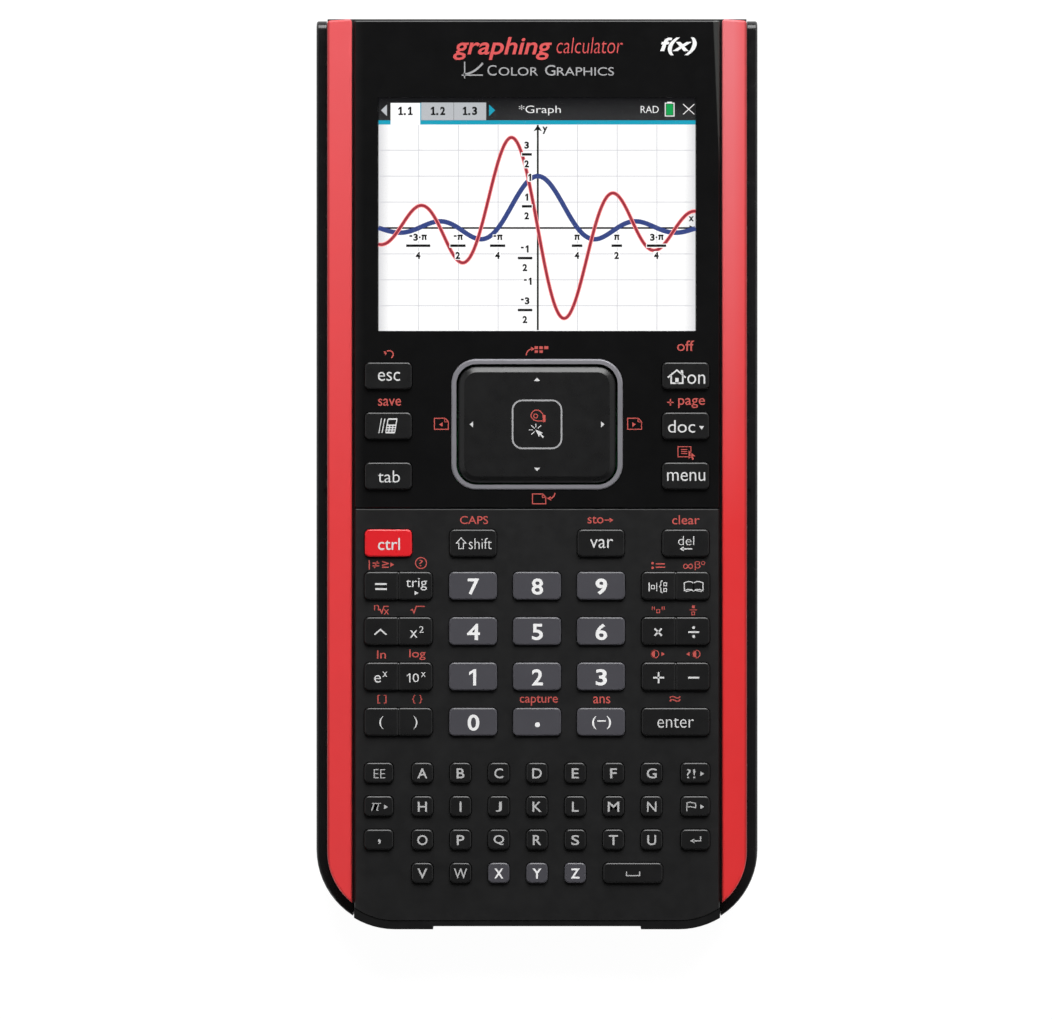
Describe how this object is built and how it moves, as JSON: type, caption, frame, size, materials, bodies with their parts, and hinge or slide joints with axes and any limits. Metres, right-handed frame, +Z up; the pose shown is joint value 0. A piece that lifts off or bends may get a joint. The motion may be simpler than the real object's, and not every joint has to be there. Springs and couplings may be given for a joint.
{
  "type": "graphing calculator",
  "caption": "Handheld graphing calculator with a colour display, a touchpad that tilts and clicks, sprung keys, and a slide case on its back. It lies flat.",
  "frame": {"origin": "middle of the whole object's footprint, at the level that the slide case rests on", "axes": "+X to the right of the keys, +Y towards the display end, +Z up out of the keys"},
  "size_m": [0.0922, 0.19, 0.0178],
  "materials": {
    "case_black": "fine moulded grain, black",
    "shell_black": "fine moulded grain, black",
    "face_gloss": "smooth satin gloss, black",
    "face_matte": "satin, black",
    "rail_red": "smooth red, satin gloss",
    "key_black": "satin, black",
    "key_grey": "satin, dark grey",
    "key_red": "satin, red",
    "ring_silver": "satin silver",
    "screen_glass": "clear, glossy",
    "screen_picture": "lit colour display",
    "frame_metal": "pressed sheet",
    "board_green": "solder mask",
    "chip_black": "moulded package",
    "membrane_rubber": "moulded silicone, grey",
    "battery_wrap": "shrink wrap",
    "screw_steel": "zinc plated",
    "foot_rubber": "soft rubber",
    "socket_steel": "nickel plated",
    "contact_brass": "gold plated"
  },
  "bodies": {
    "calculator": {"rear_cover": "shell_black", "front_housing": "shell_black", "upper_faceplate": "face_gloss", "keypad_faceplate": "face_matte", "side_rail_left": "rail_red", "side_rail_right": "rail_red", "display_window": "screen_glass", "display_panel": "screen_picture", "display_frame": "frame_metal", "touchpad_ring": "ring_silver", "key_membrane": "membrane_rubber", "main_board": "board_green", "board_chips": "chip_black", "battery_pack": "battery_wrap", "battery_door": "shell_black", "battery_door_screws": "screw_steel", "housing_screws": "screw_steel", "rubber_feet": "foot_rubber", "usb_socket": "socket_steel", "dock_contacts": "contact_brass"},
    "slide_case": {"slide_case": "case_black"},
    "touchpad_support": {"touchpad_support": "shell_black"},
    "touchpad_tilt_frame": {"touchpad_tilt_frame": "shell_black"},
    "touchpad": {"touchpad_plate": "key_black", "touchpad_sensor": "board_green"},
    "reset_button": {"reset_button": "shell_black"},
    "key_esc": {"key_esc": "key_black"},
    "key_scratchpad": {"key_scratchpad": "key_black"},
    "key_tab": {"key_tab": "key_black"},
    "key_home_on": {"key_home_on": "key_black"},
    "key_doc": {"key_doc": "key_black"},
    "key_menu": {"key_menu": "key_black"},
    "key_ctrl": {"key_ctrl": "key_red"},
    "key_del": {"key_del": "key_black"},
    "key_shift": {"key_shift": "key_black"},
    "key_var": {"key_var": "key_black"},
    "key_digit_7": {"key_digit_7": "key_grey"},
    "key_digit_8": {"key_digit_8": "key_grey"},
    "key_digit_9": {"key_digit_9": "key_grey"},
    "key_digit_4": {"key_digit_4": "key_grey"},
    "key_digit_5": {"key_digit_5": "key_grey"},
    "key_digit_6": {"key_digit_6": "key_grey"},
    "key_digit_1": {"key_digit_1": "key_grey"},
    "key_digit_2": {"key_digit_2": "key_grey"},
    "key_digit_3": {"key_digit_3": "key_grey"},
    "key_digit_0": {"key_digit_0": "key_grey"},
    "key_decimal_point": {"key_decimal_point": "key_grey"},
    "key_negate": {"key_negate": "key_grey"},
    "key_enter": {"key_enter": "key_black"},
    "keys_letter_row_1": {"keys_letter_row_1": "key_black"},
    "keys_letter_row_2": {"keys_letter_row_2": "key_black"},
    "keys_letter_row_3": {"keys_letter_row_3": "key_black"},
    "keys_letter_row_4": {"keys_letter_row_4": "key_black"},
    "key_equals_trig": {"key_equals_trig": "key_black"},
    "key_power_square": {"key_power_square": "key_black"},
    "key_exponentials": {"key_exponentials": "key_black"},
    "key_brackets": {"key_brackets": "key_black"},
    "key_template_catalog": {"key_template_catalog": "key_black"},
    "key_multiply_divide": {"key_multiply_divide": "key_black"},
    "key_add_subtract": {"key_add_subtract": "key_black"}
  },
  "joints": [
    {"name": "case_slide", "type": "slide", "parent": "calculator", "child": "slide_case", "axis": [0, -1, 0], "range_m": [0, 0.195]},
    {"name": "esc_press", "type": "slide", "parent": "calculator", "child": "key_esc", "axis": [0, 0, -1], "range_m": [0, 0.0008], "stiffness_N_per_m": 600},
    {"name": "scratchpad_press", "type": "slide", "parent": "calculator", "child": "key_scratchpad", "axis": [0, 0, -1], "range_m": [0, 0.0008], "stiffness_N_per_m": 600},
    {"name": "tab_press", "type": "slide", "parent": "calculator", "child": "key_tab", "axis": [0, 0, -1], "range_m": [0, 0.0008], "stiffness_N_per_m": 600},
    {"name": "home_on_press", "type": "slide", "parent": "calculator", "child": "key_home_on", "axis": [0, 0, -1], "range_m": [0, 0.0008], "stiffness_N_per_m": 600},
    {"name": "doc_press", "type": "slide", "parent": "calculator", "child": "key_doc", "axis": [0, 0, -1], "range_m": [0, 0.0008], "stiffness_N_per_m": 600},
    {"name": "menu_press", "type": "slide", "parent": "calculator", "child": "key_menu", "axis": [0, 0, -1], "range_m": [0, 0.0008], "stiffness_N_per_m": 600},
    {"name": "ctrl_press", "type": "slide", "parent": "calculator", "child": "key_ctrl", "axis": [0, 0, -1], "range_m": [0, 0.0008], "stiffness_N_per_m": 600},
    {"name": "del_press", "type": "slide", "parent": "calculator", "child": "key_del", "axis": [0, 0, -1], "range_m": [0, 0.0008], "stiffness_N_per_m": 600},
    {"name": "shift_press", "type": "slide", "parent": "calculator", "child": "key_shift", "axis": [0, 0, -1], "range_m": [0, 0.0008], "stiffness_N_per_m": 600},
    {"name": "var_press", "type": "slide", "parent": "calculator", "child": "key_var", "axis": [0, 0, -1], "range_m": [0, 0.0008], "stiffness_N_per_m": 600},
    {"name": "digit_7_press", "type": "slide", "parent": "calculator", "child": "key_digit_7", "axis": [0, 0, -1], "range_m": [0, 0.0008], "stiffness_N_per_m": 600},
    {"name": "digit_8_press", "type": "slide", "parent": "calculator", "child": "key_digit_8", "axis": [0, 0, -1], "range_m": [0, 0.0008], "stiffness_N_per_m": 600},
    {"name": "digit_9_press", "type": "slide", "parent": "calculator", "child": "key_digit_9", "axis": [0, 0, -1], "range_m": [0, 0.0008], "stiffness_N_per_m": 600},
    {"name": "digit_4_press", "type": "slide", "parent": "calculator", "child": "key_digit_4", "axis": [0, 0, -1], "range_m": [0, 0.0008], "stiffness_N_per_m": 600},
    {"name": "digit_5_press", "type": "slide", "parent": "calculator", "child": "key_digit_5", "axis": [0, 0, -1], "range_m": [0, 0.0008], "stiffness_N_per_m": 600},
    {"name": "digit_6_press", "type": "slide", "parent": "calculator", "child": "key_digit_6", "axis": [0, 0, -1], "range_m": [0, 0.0008], "stiffness_N_per_m": 600},
    {"name": "digit_1_press", "type": "slide", "parent": "calculator", "child": "key_digit_1", "axis": [0, 0, -1], "range_m": [0, 0.0008], "stiffness_N_per_m": 600},
    {"name": "digit_2_press", "type": "slide", "parent": "calculator", "child": "key_digit_2", "axis": [0, 0, -1], "range_m": [0, 0.0008], "stiffness_N_per_m": 600},
    {"name": "digit_3_press", "type": "slide", "parent": "calculator", "child": "key_digit_3", "axis": [0, 0, -1], "range_m": [0, 0.0008], "stiffness_N_per_m": 600},
    {"name": "digit_0_press", "type": "slide", "parent": "calculator", "child": "key_digit_0", "axis": [0, 0, -1], "range_m": [0, 0.0008], "stiffness_N_per_m": 600},
    {"name": "decimal_point_press", "type": "slide", "parent": "calculator", "child": "key_decimal_point", "axis": [0, 0, -1], "range_m": [0, 0.0008], "stiffness_N_per_m": 600},
    {"name": "negate_press", "type": "slide", "parent": "calculator", "child": "key_negate", "axis": [0, 0, -1], "range_m": [0, 0.0008], "stiffness_N_per_m": 600},
    {"name": "enter_press", "type": "slide", "parent": "calculator", "child": "key_enter", "axis": [0, 0, -1], "range_m": [0, 0.0008], "stiffness_N_per_m": 600},
    {"name": "letter_row_1_press", "type": "slide", "parent": "calculator", "child": "keys_letter_row_1", "axis": [0, 0, -1], "range_m": [0, 0.0008], "stiffness_N_per_m": 600},
    {"name": "letter_row_2_press", "type": "slide", "parent": "calculator", "child": "keys_letter_row_2", "axis": [0, 0, -1], "range_m": [0, 0.0008], "stiffness_N_per_m": 600},
    {"name": "letter_row_3_press", "type": "slide", "parent": "calculator", "child": "keys_letter_row_3", "axis": [0, 0, -1], "range_m": [0, 0.0008], "stiffness_N_per_m": 600},
    {"name": "letter_row_4_press", "type": "slide", "parent": "calculator", "child": "keys_letter_row_4", "axis": [0, 0, -1], "range_m": [0, 0.0008], "stiffness_N_per_m": 600},
    {"name": "equals_trig_rock", "type": "hinge", "parent": "calculator", "child": "key_equals_trig", "pos_m": [-0.0289, -0.0233, 0.0157], "axis": [0, 1, 0], "range_deg": [-4, 4], "stiffness_Nm_per_rad": 0.1},
    {"name": "power_square_rock", "type": "hinge", "parent": "calculator", "child": "key_power_square", "pos_m": [-0.0289, -0.03276, 0.0157], "axis": [0, 1, 0], "range_deg": [-4, 4], "stiffness_Nm_per_rad": 0.1},
    {"name": "exponentials_rock", "type": "hinge", "parent": "calculator", "child": "key_exponentials", "pos_m": [-0.0289, -0.04221, 0.0157], "axis": [0, 1, 0], "range_deg": [-4, 4], "stiffness_Nm_per_rad": 0.1},
    {"name": "brackets_rock", "type": "hinge", "parent": "calculator", "child": "key_brackets", "pos_m": [-0.0289, -0.05167, 0.0157], "axis": [0, 1, 0], "range_deg": [-4, 4], "stiffness_Nm_per_rad": 0.1},
    {"name": "template_catalog_rock", "type": "hinge", "parent": "calculator", "child": "key_template_catalog", "pos_m": [0.0289, -0.0233, 0.0157], "axis": [0, 1, 0], "range_deg": [-4, 4], "stiffness_Nm_per_rad": 0.1},
    {"name": "multiply_divide_rock", "type": "hinge", "parent": "calculator", "child": "key_multiply_divide", "pos_m": [0.0289, -0.03276, 0.0157], "axis": [0, 1, 0], "range_deg": [-4, 4], "stiffness_Nm_per_rad": 0.1},
    {"name": "add_subtract_rock", "type": "hinge", "parent": "calculator", "child": "key_add_subtract", "pos_m": [0.0289, -0.04221, 0.0157], "axis": [0, 1, 0], "range_deg": [-4, 4], "stiffness_Nm_per_rad": 0.1},
    {"name": "touchpad_click", "type": "slide", "parent": "calculator", "child": "touchpad_support", "axis": [0, 0, -1], "range_m": [0, 0.0004], "stiffness_N_per_m": 1500},
    {"name": "touchpad_up_down", "type": "hinge", "parent": "touchpad_support", "child": "touchpad_tilt_frame", "pos_m": [0, 0.01035, 0.0139], "axis": [1, 0, 0], "range_deg": [-1.5, 1.5], "stiffness_Nm_per_rad": 0.57},
    {"name": "touchpad_left_right", "type": "hinge", "parent": "touchpad_tilt_frame", "child": "touchpad", "pos_m": [0, 0.01035, 0.0152], "axis": [0, 1, 0], "range_deg": [-1.5, 1.5], "stiffness_Nm_per_rad": 0.57},
    {"name": "reset_press", "type": "slide", "parent": "calculator", "child": "reset_button", "axis": [0, 0, 1], "range_m": [0, 0.0003], "stiffness_N_per_m": 800}
  ]
}
